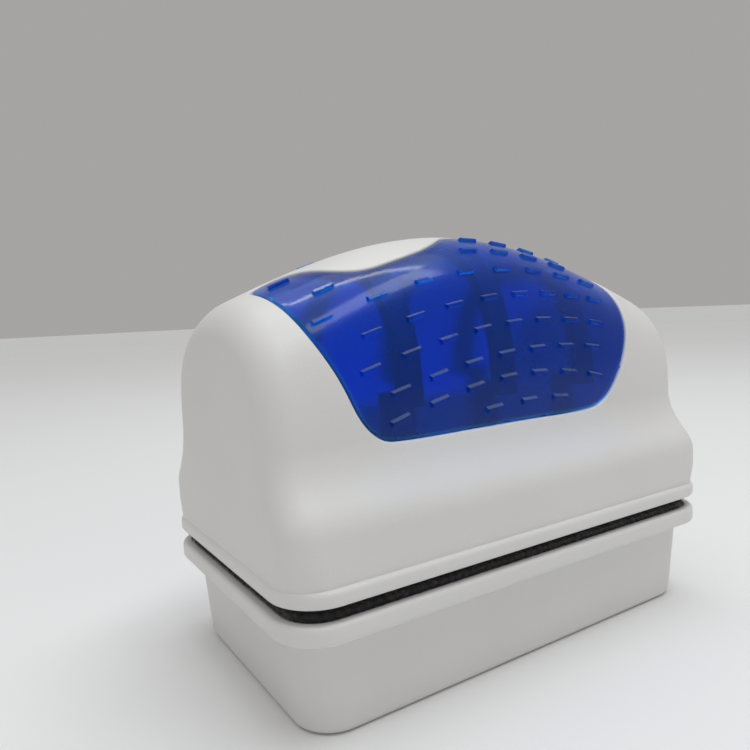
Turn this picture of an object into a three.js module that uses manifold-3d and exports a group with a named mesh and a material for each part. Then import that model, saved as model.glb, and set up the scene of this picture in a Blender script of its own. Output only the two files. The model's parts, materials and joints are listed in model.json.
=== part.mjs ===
// Magnetic glass cleaner for an aquarium, stored as a pair: the handle half lies on the floating
// half with the two cleaning pads face to face. Millimetres, +Z up, standing on z = 0 with the
// origin under its middle. X runs along the length, and -Y is the front.

import * as THREE from 'three';
import { mergeVertices } from 'three/addons/utils/BufferGeometryUtils.js';
import Module from 'manifold-3d';

const wasm = await Module();
wasm.setup();

// ---------- driving dimensions ----------

const LENGTH = 105;                 // over the two lips
const DEPTH = 61.1;
const LIP_RADIUS = 8.8;             // corner radius of the lips, seen from above
const LIP_EDGE = 0.8;               // small rounding of a lip's edges
const GAP = 0.3;                    // clearance between neighbouring pieces
const WALL = 2.2;
const WELD = 0.5;                   // overlap of two solids that are joined into one piece
const PAST = 5;                     // by which a cutting solid stands out past what it cuts

// heights of the stack
const FLOAT_LIP_BOTTOM = 17.3;
const FLOAT_LIP_TOP = 20.7;
const HANDLE_LIP_BOTTOM = 23.2;
const HANDLE_LIP_TOP = 26;
const PAD_MEETING = (FLOAT_LIP_TOP + HANDLE_LIP_BOTTOM) / 2;
const PAD_RECESS = 0.6;             // how deep the pads sit in the lips
const PAD_MARGIN = 2;               // lip left showing round a pad
const BASE_MARGIN = 3.1;            // from a lip's outline in to the plate that closes the handle
const COVER_MARGIN = 4.4;           // and to the cover of the float, whose wall needs the room
const SEAL_WIDTH = 1.4;
const COVER_THICKNESS = 1.8;
const BASE_THICKNESS = 2;

// tub of the floating half
const TUB_BOTTOM_LENGTH = 96.2;
const TUB_BOTTOM_DEPTH = 52.9;
const TUB_TOP_LENGTH = 98.6;
const TUB_TOP_DEPTH = 55.2;
const TUB_BOTTOM_RADIUS = 7.2;
const TUB_TOP_RADIUS = 7.8;
const TUB_EDGE = 1.4;               // rounding where the sides meet the floor
const TUB_FLOOR = 2;
const DRAFT = 0.6;                  // by which the air chamber widens upwards

// hood of the handle half
const HOOD_HALF_LENGTH = 52;
const SKIRT_HALF_DEPTH = 29.5;
const GRIP_HALF_DEPTH = 23.3;
const SKIRT_TOP = 33.2;
const GRIP_BOTTOM = 46;             // where the flare has turned into the upright wall
const ARCH_BOTTOM = 44.7;           // height from which the arched section is counted
const CROWN = 82.7;                 // height of the crown at mid length
const CROWN_FALL = 0.0064;          // how fast the crown drops away from mid length, per mm squared
const CROWN_EASE = 4e-7;            // and how that slackens towards the ends, per mm to the fourth
const FLARE_RISE = 5;               // handles of the flare's curve, along the skirt and down the wall
const FLARE_DROP = 7;
const FLARE_LEAN = 0.8;
const FOOT_CORNER = 8;              // rounding between the hood's sides and ends, from the foot up
const FLARE_CORNER = 5.6;
const GRIP_CORNER = 5.4;
const CROWN_CORNER = 5;
const INSIDE_CORNER = 1;            // the least that is left of it on an inner wall
const ARCH_WIDTH_POWER = 2.2;
const ARCH_HEIGHT_POWER = 3;

// grip windows, one in front and the same one turned half round behind
const INLAY_THICKNESS = 2;
const WINDOW_OUTLINE = [            // seen from the front, from the upper left down and up to the right
  [-47, 90], [-45.5, 78], [-44.3, 71], [-42, 64.5], [-38, 56.5], [-35, 50], [-31.8, 46.5], [-27, 45.3],
  [0, 45.3], [20, 45.3], [26, 46.7], [30, 50.5], [33.4, 56], [36, 62], [37.5, 69], [39, 78], [40, 90],
];
const WINDOW_TOP_EDGE = [           // upper edge, seen from above
  [-53, -9], [-46.5, -4], [-42, 2], [-37.5, 1.5], [-34.5, -3.5], [-31.5, -9.5], [-27, -12.6], [-20, -12.6],
  [-12, -11.2], [-6, -8], [0, -3.2], [8, -1.2], [20, -1], [31, -2.5], [37, -6], [41, -11], [53, -30],
];

// magnets, yokes, ribs and screws
const MAGNET_LENGTH = 38;
const MAGNET_DEPTH = 18;
const MAGNET_HEIGHT = 7;
const MAGNET_CENTRE = 21;
const YOKE_LENGTH = 84;
const YOKE_DEPTH = 20;
const YOKE_THICKNESS = 1.2;
const RIB_SPACING = 22.6;
const RIB_WIDTH = 4.6;
const RIB_FOOT = 15;                // half depth of a rib's legs
const RIB_SHOULDER = 50.3;          // below this height a rib steps back from the grip
const RIB_BAR = 2.2;
const RIB_CLEARANCE = 0.5;
const SCREW_SHANK = 1.25;
const SCREW_HEAD = 2.8;
const SCREW_HEAD_HEIGHT = 1;
const SCREW_LENGTH = 9;
const SCREW_SLOT = 0.6;
const SLOT_DEPTH = 0.4;
const HEAD_SUNK = 0.1;              // a head lies this far below the plate that it holds
const PILOT_SPARE = 3;              // how much deeper than the screw its hole is
const POST_RADIUS = 3.2;
const HANDLE_SCREW = { x: 43, y: 21.5 };
const FLOAT_SCREW = { x: 41, y: 19 };

// ---------- solids ----------

function toSolid(geometry) {
  const bare = geometry.index ? geometry.toNonIndexed() : geometry.clone();
  for (const name of Object.keys(bare.attributes)) {
    if (name !== 'position') bare.deleteAttribute(name);
  }
  const merged = mergeVertices(bare, 1e-4);
  return new wasm.Manifold(new wasm.Mesh({
    numProp: 3,
    vertProperties: new Float32Array(merged.attributes.position.array),
    triVerts: new Uint32Array(merged.index.array),
  }));
}

function toGeometry(solid) {
  const mesh = solid.getMesh();
  const geometry = new THREE.BufferGeometry();
  geometry.setAttribute('position', new THREE.BufferAttribute(new Float32Array(mesh.vertProperties), 3));
  geometry.setIndex(new THREE.BufferAttribute(new Uint32Array(mesh.triVerts), 1));
  geometry.computeVertexNormals();
  return geometry;
}

const boxSolid = (length, depth, height, x, y, z) =>
  toSolid(new THREE.BoxGeometry(length, depth, height).translate(x, y, z + height / 2));

const rodSolid = (radius, x, y, low, high, sides = 20) =>
  toSolid(new THREE.CylinderGeometry(radius, radius, high - low, sides)
    .rotateX(Math.PI / 2).translate(x, y, (low + high) / 2));

// A closed solid through a stack of outlines that all have the same number of points.
function loftSolid(rings) {
  const count = rings[0].length;
  const positions = rings.flat().flatMap((point) => [point.x, point.y, point.z]);
  const triangles = [];
  for (let ring = 0; ring + 1 < rings.length; ring += 1) {
    for (let i = 0; i < count; i += 1) {
      const a = ring * count + i;
      const b = ring * count + (i + 1) % count;
      triangles.push(a, b, b + count, a, b + count, a + count);
    }
  }
  for (const [ring, first] of [[rings[0], 0], [rings.at(-1), (rings.length - 1) * count]]) {
    const centre = ring.reduce((sum, point) => sum.add(point), new THREE.Vector3()).divideScalar(count);
    const hub = positions.length / 3;
    positions.push(centre.x, centre.y, centre.z);
    for (let i = 0; i < count; i += 1) {
      const a = first + i;
      const b = first + (i + 1) % count;
      triangles.push(...(first === 0 ? [hub, b, a] : [hub, a, b]));
    }
  }
  const geometry = new THREE.BufferGeometry();
  geometry.setAttribute('position', new THREE.Float32BufferAttribute(positions, 3));
  geometry.setIndex(triangles);
  return toSolid(geometry);
}

// A rectangle with round corners at one height, anticlockwise from above.
function roundedOutline(length, depth, radius, z, steps = 6) {
  const points = [];
  const corners = [[1, -1, -90], [1, 1, 0], [-1, 1, 90], [-1, -1, 180]];
  for (const [sideX, sideY, start] of corners) {
    for (let i = 0; i <= steps; i += 1) {
      const angle = THREE.MathUtils.degToRad(start + 90 * i / steps);
      points.push(new THREE.Vector3(
        sideX * (length / 2 - radius) + radius * Math.cos(angle),
        sideY * (depth / 2 - radius) + radius * Math.sin(angle), z));
    }
  }
  return points;
}

const slabSolid = (length, depth, radius, low, high) =>
  loftSolid([roundedOutline(length, depth, radius, low), roundedOutline(length, depth, radius, high)]);

// The lip that both halves carry, with its edges eased.
function lipSolid(low, high) {
  const ease = (z, cut) => roundedOutline(LENGTH - 2 * cut, DEPTH - 2 * cut, LIP_RADIUS - cut, z);
  return loftSolid([
    ease(low, LIP_EDGE), ease(low + LIP_EDGE, 0), ease(high - LIP_EDGE, 0), ease(high, LIP_EDGE),
  ]);
}

// A slab that follows the lip's outline at a given margin.
const insetSlab = (margin, low, high) =>
  slabSolid(LENGTH - 2 * margin, DEPTH - 2 * margin, LIP_RADIUS - margin, low, high);

// ---------- hood of the handle ----------

const crownHeight = (x) => CROWN - CROWN_FALL * x ** 2 + CROWN_EASE * x ** 4;

// Half of the hood's cross-section from the skirt up to the crown, as points [y, z, corner radius].
function hoodProfile(x, inset, bottom) {
  const crown = crownHeight(x) - inset;
  const grip = GRIP_HALF_DEPTH - inset;
  const skirt = SKIRT_HALF_DEPTH - inset;
  const flareBottom = SKIRT_TOP - inset / 2;
  const flare = new THREE.CubicBezierCurve(
    new THREE.Vector2(skirt, flareBottom),
    new THREE.Vector2(skirt, flareBottom + FLARE_RISE),
    new THREE.Vector2(grip + FLARE_LEAN, GRIP_BOTTOM - FLARE_DROP),
    new THREE.Vector2(grip, GRIP_BOTTOM));
  const points = [[skirt, bottom, FOOT_CORNER]];
  const flareSteps = 6;
  for (let i = 0; i <= flareSteps; i += 1) {
    const point = flare.getPoint(i / flareSteps);
    const corner = THREE.MathUtils.lerp(FLARE_CORNER, GRIP_CORNER, i / flareSteps);
    points.push([point.x, point.y, corner]);
  }
  const archSteps = 11;
  for (let i = 1; i <= archSteps; i += 1) {
    const angle = Math.PI / 2 * i / archSteps;
    const height = Math.sin(angle) ** (2 / ARCH_HEIGHT_POWER);
    const z = ARCH_BOTTOM + (crown - ARCH_BOTTOM) * height;
    const y = grip * (1 - height ** ARCH_HEIGHT_POWER) ** (1 / ARCH_WIDTH_POWER);
    const corner = THREE.MathUtils.lerp(GRIP_CORNER, CROWN_CORNER, height);
    if (z > GRIP_BOTTOM) points.push([i === archSteps ? 0 : y, z, corner]);
  }
  return points;
}

// One point of the hood, for a station that is counted by the turn of the end's rounding.
function hoodPoint(side, turn, along, index, inset, bottom) {
  const halfLength = HOOD_HALF_LENGTH - inset;
  const radius = Math.max(hoodProfile(0, inset, bottom)[index][2] - inset, INSIDE_CORNER);
  const straight = halfLength - radius;
  const x = side * (turn === 0 ? along * straight : straight + radius * Math.sin(turn));
  const profile = hoodProfile(x, inset, bottom);
  const before = profile[Math.max(index - 1, 0)];
  const after = profile[index + 1] ?? [-before[0], before[1]];
  const outward = new THREE.Vector2(after[1] - before[1], before[0] - after[0]).normalize();
  const cut = radius * (1 - Math.cos(turn));
  const [y, z] = profile[index];
  const low = index === 0;
  return new THREE.Vector3(x, y - cut * (low ? 1 : outward.x), z - cut * (low ? 0 : outward.y));
}

function hoodSolid(inset, bottom) {
  const stations = [];
  const bends = 5;
  const middles = 9;
  for (let i = bends; i >= 1; i -= 1) stations.push([-1, Math.PI / 2 * i / bends, 1]);
  for (let i = middles; i > 0; i -= 1) stations.push([-1, 0, i / middles]);
  for (let i = 0; i <= middles; i += 1) stations.push([1, 0, i / middles]);
  for (let i = 1; i <= bends; i += 1) stations.push([1, Math.PI / 2 * i / bends, 1]);
  const last = hoodProfile(0, inset, bottom).length - 1;
  return loftSolid(stations.map(([side, turn, along]) => {
    const half = [];
    for (let i = 0; i <= last; i += 1) half.push(hoodPoint(side, turn, along, i, inset, bottom));
    const mirrored = half.slice(0, last).reverse().map((p) => new THREE.Vector3(p.x, -p.y, p.z));
    return [...half, ...mirrored];
  }));
}

const toVectors = (points) => points.map(([x, y]) => new THREE.Vector2(x, y));

// The outline moved inwards by a margin, as a smooth curve through the same points.
function insetCurve(outline, margin, steps) {
  const points = toVectors(outline);
  const moved = points.map((point, i) => {
    const before = points[Math.max(i - 1, 0)];
    const after = points[Math.min(i + 1, points.length - 1)];
    const along = after.clone().sub(before).normalize();
    return new THREE.Vector2(point.x - along.y * margin, point.y + along.x * margin);
  });
  return new THREE.SplineCurve(moved).getPoints(steps);
}

// The space of the front window, shrunk by a margin for the inlay that fills it.
function windowSolid(margin) {
  const steps = 64;
  const reach = DEPTH;
  const front = new THREE.Shape(insetCurve(WINDOW_OUTLINE, margin, steps));
  const sideways = new THREE.ExtrudeGeometry(front, { depth: reach, bevelEnabled: false })
    .rotateX(Math.PI / 2).translate(0, reach / 2, 0);
  const plan = new THREE.Shape(insetCurve(WINDOW_TOP_EDGE, -margin, steps));
  plan.lineTo(LENGTH / 2, -reach);
  plan.lineTo(-LENGTH / 2, -reach);
  plan.closePath();
  const downwards = new THREE.ExtrudeGeometry(plan, { depth: CROWN + PAST, bevelEnabled: false });
  return toSolid(sideways).intersect(toSolid(downwards));
}

const halfTurn = (solid) => solid.rotate([0, 0, 180]);

// Four places, one in each corner, for the screws and their posts.
const cornersOf = ({ x, y }) => [[-x, -y], [x, -y], [x, y], [-x, y]];

// ---------- handle half ----------

const BASE_BOTTOM = HANDLE_LIP_BOTTOM + PAD_RECESS;
const BASE_TOP = BASE_BOTTOM + BASE_THICKNESS;
const HANDLE_MAGNET_BOTTOM = BASE_TOP + GAP;
const HANDLE_YOKE_BOTTOM = HANDLE_MAGNET_BOTTOM + MAGNET_HEIGHT + GAP;
const RIB_BOTTOM = BASE_TOP + GAP;

function handleShell() {
  const outside = hoodSolid(0, HANDLE_LIP_BOTTOM + LIP_EDGE);
  const below = HANDLE_LIP_BOTTOM - PAST;
  let shell = outside.add(lipSolid(HANDLE_LIP_BOTTOM, HANDLE_LIP_TOP));
  shell = shell.subtract(hoodSolid(WALL, below));
  shell = shell.subtract(insetSlab(PAD_MARGIN - GAP, below, BASE_BOTTOM));
  shell = shell.subtract(insetSlab(BASE_MARGIN - GAP, below, BASE_TOP + GAP));
  for (const [x, y] of cornersOf(HANDLE_SCREW)) {
    shell = shell.add(rodSolid(POST_RADIUS, x, y, BASE_TOP + GAP, GRIP_BOTTOM).intersect(outside));
    const pilotTop = BASE_BOTTOM + SCREW_LENGTH + PILOT_SPARE;
    shell = shell.subtract(rodSolid(SCREW_SHANK + GAP, x, y, BASE_TOP, pilotTop));
  }
  const window = windowSolid(0);
  return shell.subtract(window).subtract(halfTurn(window));
}

const gripInlay = () => hoodSolid(0, HANDLE_LIP_TOP)
  .subtract(hoodSolid(INLAY_THICKNESS, HANDLE_LIP_BOTTOM))
  .intersect(windowSolid(GAP));

// A strap that follows the grip's inside, on two legs that stand on the base beside the magnets.
function inlayRib(x) {
  const inset = INLAY_THICKNESS + RIB_CLEARANCE;
  const arch = (deeper) => hoodSolid(inset + deeper, HANDLE_LIP_BOTTOM);
  const slice = (depth, bottom, width = 2 * RIB_WIDTH) =>
    boxSolid(width, depth, CROWN - bottom, x, 0, bottom);
  const outline = slice(DEPTH, RIB_SHOULDER).add(slice(2 * RIB_FOOT, RIB_BOTTOM));
  const opening = slice(DEPTH, RIB_SHOULDER + RIB_BAR).add(slice(2 * (RIB_FOOT - RIB_BAR), BASE_BOTTOM));
  const solid = arch(0).intersect(outline).subtract(arch(RIB_BAR).intersect(opening));
  return slice(DEPTH, RIB_BOTTOM, RIB_WIDTH).intersect(solid);
}

function handleBase() {
  const headTop = BASE_BOTTOM + HEAD_SUNK + SCREW_HEAD_HEIGHT + GAP;
  let plate = insetSlab(BASE_MARGIN, BASE_BOTTOM, BASE_TOP);
  for (const [x, y] of cornersOf(HANDLE_SCREW)) {
    plate = plate.subtract(rodSolid(SCREW_SHANK + GAP, x, y, BASE_BOTTOM - PAST, BASE_TOP + PAST));
    plate = plate.subtract(rodSolid(SCREW_HEAD + GAP, x, y, BASE_BOTTOM - PAST, headTop));
  }
  return plate;
}

// ---------- floating half ----------

const COVER_TOP = FLOAT_LIP_TOP - PAD_RECESS;
const COVER_BOTTOM = COVER_TOP - COVER_THICKNESS;
const SEAL_TOP = COVER_BOTTOM - GAP;
const SEAL_THICKNESS = 0.6;
const LEDGE = SEAL_TOP - SEAL_THICKNESS - GAP;
const FLOAT_MAGNET_BOTTOM = COVER_BOTTOM - GAP - MAGNET_HEIGHT;
const FLOAT_YOKE_BOTTOM = FLOAT_MAGNET_BOTTOM - GAP - YOKE_THICKNESS;

function floatCase() {
  const edgeSteps = 3;
  const rings = [];
  for (let i = 0; i <= edgeSteps; i += 1) {
    const angle = Math.PI / 2 * i / edgeSteps;
    const cut = TUB_EDGE * (1 - Math.sin(angle));
    rings.push(roundedOutline(TUB_BOTTOM_LENGTH - 2 * cut, TUB_BOTTOM_DEPTH - 2 * cut,
      TUB_BOTTOM_RADIUS - cut, TUB_EDGE * (1 - Math.cos(angle))));
  }
  rings.push(roundedOutline(TUB_TOP_LENGTH, TUB_TOP_DEPTH, TUB_TOP_RADIUS, FLOAT_LIP_BOTTOM + LIP_EDGE));
  const outside = loftSolid(rings);
  const chamberLength = TUB_BOTTOM_LENGTH - 2 * WALL;
  const chamberDepth = TUB_BOTTOM_DEPTH - 2 * WALL;
  const inside = loftSolid([
    roundedOutline(chamberLength, chamberDepth, TUB_BOTTOM_RADIUS - WALL, TUB_FLOOR),
    roundedOutline(chamberLength + DRAFT, chamberDepth + DRAFT, TUB_BOTTOM_RADIUS - WALL,
      FLOAT_LIP_TOP + PAST),
  ]);
  const above = FLOAT_LIP_TOP + PAST;
  const foot = TUB_FLOOR - WELD;
  let tub = outside.add(lipSolid(FLOAT_LIP_BOTTOM, FLOAT_LIP_TOP)).subtract(inside);
  for (const x of [-RIB_SPACING, 0, RIB_SPACING]) {
    tub = tub.add(boxSolid(WALL, YOKE_DEPTH, FLOAT_YOKE_BOTTOM - GAP - foot, x, 0, foot));
  }
  for (const [x, y] of cornersOf(FLOAT_SCREW)) {
    const pilotBottom = COVER_TOP - SCREW_LENGTH - PILOT_SPARE;
    tub = tub.add(rodSolid(POST_RADIUS, x, y, foot, COVER_BOTTOM - GAP));
    tub = tub.subtract(rodSolid(SCREW_SHANK + GAP, x, y, pilotBottom, above));
  }
  tub = tub.subtract(insetSlab(PAD_MARGIN - GAP, COVER_TOP, above));
  return tub.subtract(insetSlab(COVER_MARGIN - GAP, LEDGE, above));
}

function floatCover() {
  const headBottom = COVER_TOP - HEAD_SUNK - SCREW_HEAD_HEIGHT - GAP;
  let plate = insetSlab(COVER_MARGIN, COVER_BOTTOM, COVER_TOP);
  for (const [x, y] of cornersOf(FLOAT_SCREW)) {
    plate = plate.subtract(rodSolid(SCREW_SHANK + GAP, x, y, COVER_BOTTOM - PAST, COVER_TOP + PAST));
    plate = plate.subtract(rodSolid(SCREW_HEAD + GAP, x, y, headBottom, COVER_TOP + PAST));
  }
  return plate;
}

const floatSeal = () => insetSlab(COVER_MARGIN, SEAL_TOP - SEAL_THICKNESS, SEAL_TOP)
  .subtract(insetSlab(COVER_MARGIN + SEAL_WIDTH, SEAL_TOP - PAST, SEAL_TOP + PAST));

// ---------- shared small pieces ----------

// A screw whose head is at z, with its shank going up (+1) or down (-1).
function screwSolid(x, y, z, direction) {
  const ends = (from, to) => [Math.min(from, to), Math.max(from, to)];
  const neck = z + direction * SCREW_HEAD_HEIGHT;
  const head = rodSolid(SCREW_HEAD, x, y, ...ends(z, neck));
  const shankEnds = ends(neck - direction * WELD / 2, z + direction * SCREW_LENGTH);
  const shank = rodSolid(SCREW_SHANK, x, y, ...shankEnds, 12);
  const [slotBottom, slotTop] = ends(z - direction * WELD, z + direction * SLOT_DEPTH);
  const slot = boxSolid(SCREW_HEAD, SCREW_SLOT, slotTop - slotBottom, x, y, slotBottom);
  return head.add(shank).subtract(slot);
}

const magnetSolid = (x, low) => boxSolid(MAGNET_LENGTH, MAGNET_DEPTH, MAGNET_HEIGHT, x, 0, low);
const yokeSolid = (low) => boxSolid(YOKE_LENGTH, YOKE_DEPTH, YOKE_THICKNESS, 0, 0, low);

// ---------- finishes ----------

const whitePlastic = new THREE.MeshStandardMaterial({ color: 0xdcdbd9, roughness: 0.42, metalness: 0 });
const bluePlastic = new THREE.MeshStandardMaterial(
  { color: 0x0a43b8, roughness: 0.15, metalness: 0, transparent: true, opacity: 0.75 });
const darkPlastic = new THREE.MeshStandardMaterial({ color: 0x15172b, roughness: 0.5, metalness: 0 });
const ferrite = new THREE.MeshStandardMaterial({ color: 0x2f2f31, roughness: 0.7, metalness: 0.1 });
const steel = new THREE.MeshStandardMaterial({ color: 0xa9abad, roughness: 0.35, metalness: 1 });
const felt = new THREE.MeshStandardMaterial({ color: 0x121214, roughness: 0.95, metalness: 0 });
const sealRubber = new THREE.MeshStandardMaterial({ color: 0x1c1c1d, roughness: 0.8, metalness: 0 });

// ---------- assembly ----------

const cleaner = new THREE.Group();
const handleHalf = new THREE.Group();
const floatHalf = new THREE.Group();
cleaner.add(floatHalf, handleHalf);

function place(group, name, solid, material) {
  const mesh = new THREE.Mesh(toGeometry(solid), material);
  mesh.name = name;
  group.add(mesh);
}

const frontInlay = gripInlay();
place(handleHalf, 'handle_shell', handleShell(), whitePlastic);
place(handleHalf, 'grip_inlay_front', frontInlay, bluePlastic);
place(handleHalf, 'grip_inlay_rear', halfTurn(frontInlay), bluePlastic);
for (const [name, x] of [['left', -RIB_SPACING], ['middle', 0], ['right', RIB_SPACING]]) {
  place(handleHalf, `inlay_rib_${name}`, inlayRib(x), darkPlastic);
}
place(handleHalf, 'handle_base', handleBase(), whitePlastic);
place(handleHalf, 'handle_yoke', yokeSolid(HANDLE_YOKE_BOTTOM), steel);
place(handleHalf, 'handle_pad',
  insetSlab(PAD_MARGIN, PAD_MEETING + GAP / 2, BASE_BOTTOM - GAP), felt);

place(floatHalf, 'float_case', floatCase(), whitePlastic);
place(floatHalf, 'float_cover', floatCover(), whitePlastic);
place(floatHalf, 'float_seal', floatSeal(), sealRubber);
place(floatHalf, 'float_yoke', yokeSolid(FLOAT_YOKE_BOTTOM), steel);
place(floatHalf, 'float_pad',
  insetSlab(PAD_MARGIN, COVER_TOP + GAP, PAD_MEETING - GAP / 2), felt);

for (const [name, x] of [['left', -MAGNET_CENTRE], ['right', MAGNET_CENTRE]]) {
  place(handleHalf, `handle_magnet_${name}`, magnetSolid(x, HANDLE_MAGNET_BOTTOM), ferrite);
  place(floatHalf, `float_magnet_${name}`, magnetSolid(x, FLOAT_MAGNET_BOTTOM), ferrite);
}
cornersOf(HANDLE_SCREW).forEach(([x, y], i) => {
  place(handleHalf, `handle_screw_${i + 1}`, screwSolid(x, y, BASE_BOTTOM + HEAD_SUNK, 1), steel);
});
cornersOf(FLOAT_SCREW).forEach(([x, y], i) => {
  place(floatHalf, `float_screw_${i + 1}`, screwSolid(x, y, COVER_TOP - HEAD_SUNK, -1), steel);
});

export default cleaner;
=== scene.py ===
# %% [markdown]
# # A magnetic glass cleaner
# The real cleaner is two plastic boxes with magnets inside. The handle half stays outside the
# aquarium, the floating half goes in the water, and the glass is pinched between their pads.
# Here the pair is stored: handle on top, float below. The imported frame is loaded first, because
# every new piece takes its place from it.

import math

import bpy
import numpy as np
from mathutils import Matrix, Vector
from mathutils.geometry import delaunay_2d_cdt
from mathutils.kdtree import KDTree
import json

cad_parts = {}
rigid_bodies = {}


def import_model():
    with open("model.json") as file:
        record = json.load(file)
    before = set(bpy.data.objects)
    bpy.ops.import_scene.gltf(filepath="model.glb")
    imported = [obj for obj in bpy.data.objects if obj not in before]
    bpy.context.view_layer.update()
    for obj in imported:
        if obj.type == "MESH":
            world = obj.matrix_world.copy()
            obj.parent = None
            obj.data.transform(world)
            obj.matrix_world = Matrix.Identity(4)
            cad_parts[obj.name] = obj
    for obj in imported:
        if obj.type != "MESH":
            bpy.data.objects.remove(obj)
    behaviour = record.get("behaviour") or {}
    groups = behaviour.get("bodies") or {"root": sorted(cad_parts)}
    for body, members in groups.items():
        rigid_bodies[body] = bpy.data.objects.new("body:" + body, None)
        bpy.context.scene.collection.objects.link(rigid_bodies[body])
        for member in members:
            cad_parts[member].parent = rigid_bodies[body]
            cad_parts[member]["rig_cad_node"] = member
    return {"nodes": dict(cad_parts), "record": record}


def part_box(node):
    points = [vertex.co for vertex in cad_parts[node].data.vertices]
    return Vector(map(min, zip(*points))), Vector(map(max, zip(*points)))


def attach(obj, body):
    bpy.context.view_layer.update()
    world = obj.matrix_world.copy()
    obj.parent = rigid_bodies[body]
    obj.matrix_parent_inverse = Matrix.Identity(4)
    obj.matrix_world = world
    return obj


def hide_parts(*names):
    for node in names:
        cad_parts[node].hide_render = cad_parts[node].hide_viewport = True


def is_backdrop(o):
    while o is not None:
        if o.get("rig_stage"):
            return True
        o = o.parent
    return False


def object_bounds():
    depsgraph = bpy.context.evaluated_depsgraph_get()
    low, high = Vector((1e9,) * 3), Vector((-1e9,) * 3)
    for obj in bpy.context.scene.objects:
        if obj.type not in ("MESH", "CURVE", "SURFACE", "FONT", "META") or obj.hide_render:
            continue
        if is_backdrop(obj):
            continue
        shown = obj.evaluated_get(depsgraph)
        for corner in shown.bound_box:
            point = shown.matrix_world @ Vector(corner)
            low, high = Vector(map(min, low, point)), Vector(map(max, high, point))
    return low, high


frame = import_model()
cad_low, cad_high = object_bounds()
MM = 0.001

# %% [markdown]
# ## Camera
# The camera stands low in front of the left end, so both long lips run away to the right. It is
# placed by a compass turn round the object, a height above the horizon and a small roll, in
# the way that one sets a camera on its stand.

# %% Camera
CAMERA_PLACE = Vector((-0.0900, -0.1148, 0.0671))
CAMERA_TURN = math.radians(-32.44)
CAMERA_RISE = math.radians(5.30)
CAMERA_ROLL = math.radians(-2.57)

back = Vector((math.sin(CAMERA_TURN) * math.cos(CAMERA_RISE),
               -math.cos(CAMERA_TURN) * math.cos(CAMERA_RISE), math.sin(CAMERA_RISE)))
level = Vector((math.cos(CAMERA_TURN), math.sin(CAMERA_TURN), 0))
upright = back.cross(level)
right = level * math.cos(CAMERA_ROLL) + upright * math.sin(CAMERA_ROLL)
up = upright * math.cos(CAMERA_ROLL) - level * math.sin(CAMERA_ROLL)

camera = bpy.data.objects.new("camera", bpy.data.cameras.new("camera"))
camera.data.sensor_width = 36
camera.data.lens = 31.68
camera.data.clip_start = 0.005
camera.data.clip_end = 20
camera.matrix_world = Matrix.Translation(CAMERA_PLACE) @ Matrix((right, up, back)).transposed().to_4x4()
bpy.context.scene.collection.objects.link(camera)
bpy.context.scene.camera = camera
print("camera", [round(value, 3) for value in CAMERA_PLACE])

# %% [markdown]
# ## Small helpers for modelling by hand
# Operators act on whatever is selected, so each helper starts by clearing the selection. Faces
# and edges are then picked by where they are, the way one would click them in the viewport.


# %% Modelling helpers
def only(piece):
    """Makes piece the one selected and active object."""
    bpy.ops.object.select_all(action="DESELECT")
    piece.select_set(True)
    bpy.context.view_layer.objects.active = piece


def start_block(name, length, depth, low, high):
    """A block on the object's middle, between two heights."""
    bpy.ops.object.select_all(action="DESELECT")
    bpy.ops.mesh.primitive_cube_add(size=1, location=(0, 0, (low + high) / 2),
                                    scale=(length, depth, high - low))
    piece = bpy.context.object
    piece.name = piece.data.name = name
    bpy.ops.object.transform_apply(location=True, rotation=True, scale=True)
    return piece


def pick(piece, kind, test):
    """Enters edit mode with only those faces, edges or vertices selected that pass the test."""
    only(piece)
    bpy.ops.object.mode_set(mode="EDIT")
    bpy.ops.mesh.select_mode(type={"faces": "FACE", "edges": "EDGE", "vertices": "VERT"}[kind])
    bpy.ops.mesh.select_all(action="DESELECT")
    bpy.ops.object.mode_set(mode="OBJECT")
    mesh = piece.data
    for element in {"faces": mesh.polygons, "edges": mesh.edges, "vertices": mesh.vertices}[kind]:
        element.select = test(mesh, element)
    bpy.ops.object.mode_set(mode="EDIT")


def done():
    """Goes back to object mode after an edit."""
    bpy.ops.object.mode_set(mode="OBJECT")


def ends_of(mesh, edge):
    return [mesh.vertices[index].co for index in edge.vertices]


def upright_edge(mesh, edge):
    a, b = ends_of(mesh, edge)
    return (a - b).xy.length < 0.2 * abs(a.z - b.z)


def edge_at_height(z):
    def test(mesh, edge):
        return all(abs(point.z - z) < 1e-5 for point in ends_of(mesh, edge))
    return test


def face_looking(direction):
    def test(mesh, face):
        return face.normal.z * direction > 0.99
    return test


def apply_modifier(piece, kind, **settings):
    only(piece)
    modifier = piece.modifiers.new(kind.title(), kind)
    for key, value in settings.items():
        setattr(modifier, key, value)
    bpy.ops.object.modifier_apply(modifier=modifier.name)


def join(name, *pieces):
    only(pieces[0])
    for piece in pieces[1:]:
        piece.select_set(True)
    bpy.ops.object.join()
    bpy.context.object.name = bpy.context.object.data.name = name
    return bpy.context.object


def soften(piece, angle=35):
    only(piece)
    bpy.ops.object.shade_smooth_by_angle(angle=math.radians(angle))


def report(piece):
    low, high = (Vector(corner) for corner in (piece.bound_box[0], piece.bound_box[6]))
    size = [round(value / MM, 1) for value in high - low]
    print(piece.name, "faces", len(piece.data.polygons), "size mm", size)


# %% [markdown]
# ## Shader maths
# A material is easier to read as a formula than as a list of links. Signal wraps one socket, so
# that `grain * 0.2 + 0.4` adds the Math nodes itself, and Paint.node makes any other node.


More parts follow.
